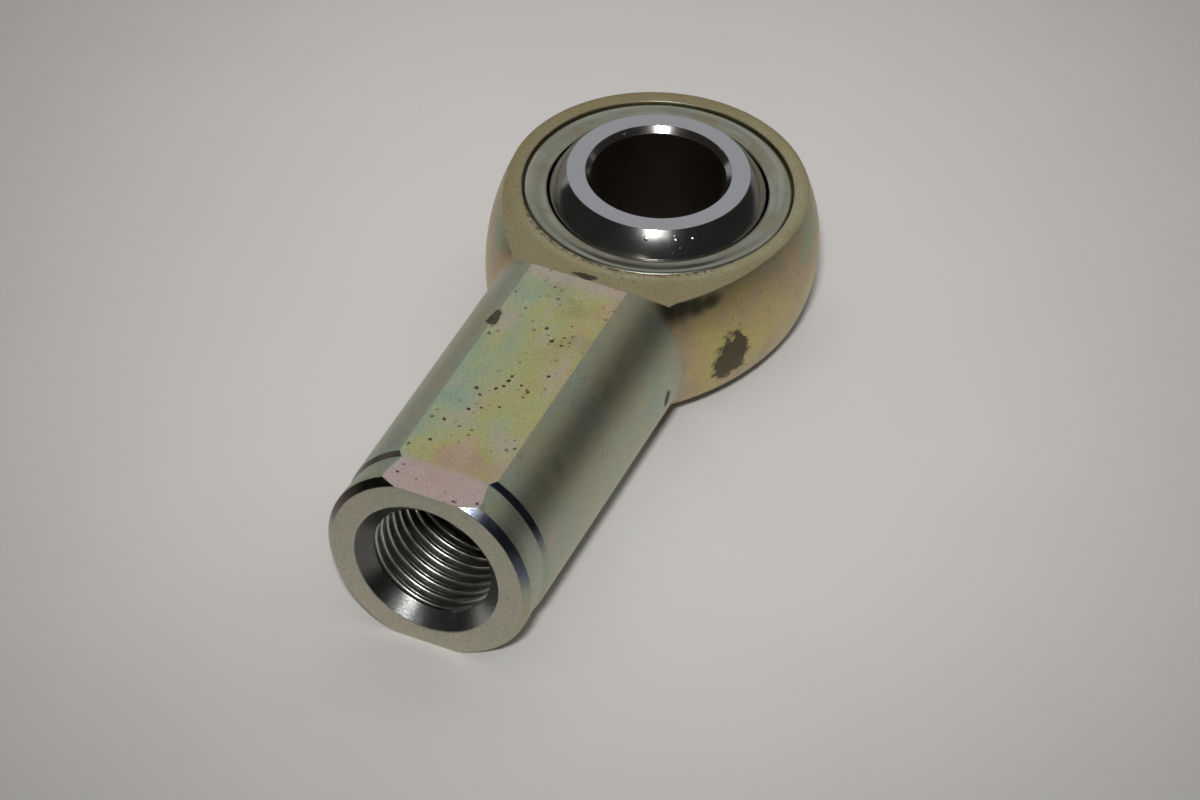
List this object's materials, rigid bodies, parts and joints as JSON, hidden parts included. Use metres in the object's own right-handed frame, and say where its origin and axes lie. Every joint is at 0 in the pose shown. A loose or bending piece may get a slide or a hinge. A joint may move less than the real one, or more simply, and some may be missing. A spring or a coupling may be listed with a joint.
{
  "type": "rod end bearing",
  "caption": "Female rod end: a forged eye with a self-aligning ball bearing and a ball-shaped inner ring, on a shank with two flats and a blind internal thread.",
  "frame": {"origin": "centre of the inner ring, where its bore axis crosses the middle plane of the head", "axes": "+Z along the bore axis, out of the upper face; the threaded shank points along -Y; +X completes the right-handed frame"},
  "size_m": [0.039, 0.0835, 0.022],
  "materials": {
    "chromated_steel": "forged and turned steel, zinc plated with a yellow iridescent chromate",
    "zinc_sheet": "pressed sheet steel, pale clear zinc",
    "bearing_steel": "hardened bearing steel, ground faces and polished sphere",
    "cage_brass": "turned brass"
  },
  "bodies": {
    "housing": {"housing": "chromated_steel", "shield_top": "zinc_sheet", "shield_bottom": "zinc_sheet"},
    "ball_set": {"cage": "cage_brass", "ball_upper_01": "bearing_steel", "ball_upper_02": "bearing_steel", "ball_upper_03": "bearing_steel", "ball_upper_04": "bearing_steel", "ball_upper_05": "bearing_steel", "ball_upper_06": "bearing_steel", "ball_upper_07": "bearing_steel", "ball_upper_08": "bearing_steel", "ball_upper_09": "bearing_steel", "ball_upper_10": "bearing_steel", "ball_upper_11": "bearing_steel", "ball_upper_12": "bearing_steel", "ball_upper_13": "bearing_steel", "ball_upper_14": "bearing_steel", "ball_upper_15": "bearing_steel", "ball_upper_16": "bearing_steel", "ball_upper_17": "bearing_steel", "ball_upper_18": "bearing_steel", "ball_upper_19": "bearing_steel", "ball_upper_20": "bearing_steel", "ball_lower_01": "bearing_steel", "ball_lower_02": "bearing_steel", "ball_lower_03": "bearing_steel", "ball_lower_04": "bearing_steel", "ball_lower_05": "bearing_steel", "ball_lower_06": "bearing_steel", "ball_lower_07": "bearing_steel", "ball_lower_08": "bearing_steel", "ball_lower_09": "bearing_steel", "ball_lower_10": "bearing_steel", "ball_lower_11": "bearing_steel", "ball_lower_12": "bearing_steel", "ball_lower_13": "bearing_steel", "ball_lower_14": "bearing_steel", "ball_lower_15": "bearing_steel", "ball_lower_16": "bearing_steel", "ball_lower_17": "bearing_steel", "ball_lower_18": "bearing_steel", "ball_lower_19": "bearing_steel", "ball_lower_20": "bearing_steel"},
    "inner_ring": {"inner_ring": "bearing_steel"}
  },
  "joints": [
    {"name": "ring_tilt", "type": "hinge", "parent": "housing", "child": "ball_set", "pos_m": [0, 0, 0], "axis": [1, 0, 0], "range_deg": [-10, 10]},
    {"name": "ring_spin", "type": "hinge", "parent": "ball_set", "child": "inner_ring", "pos_m": [0, 0, 0], "axis": [0, 0, 1], "continuous": true}
  ]
}
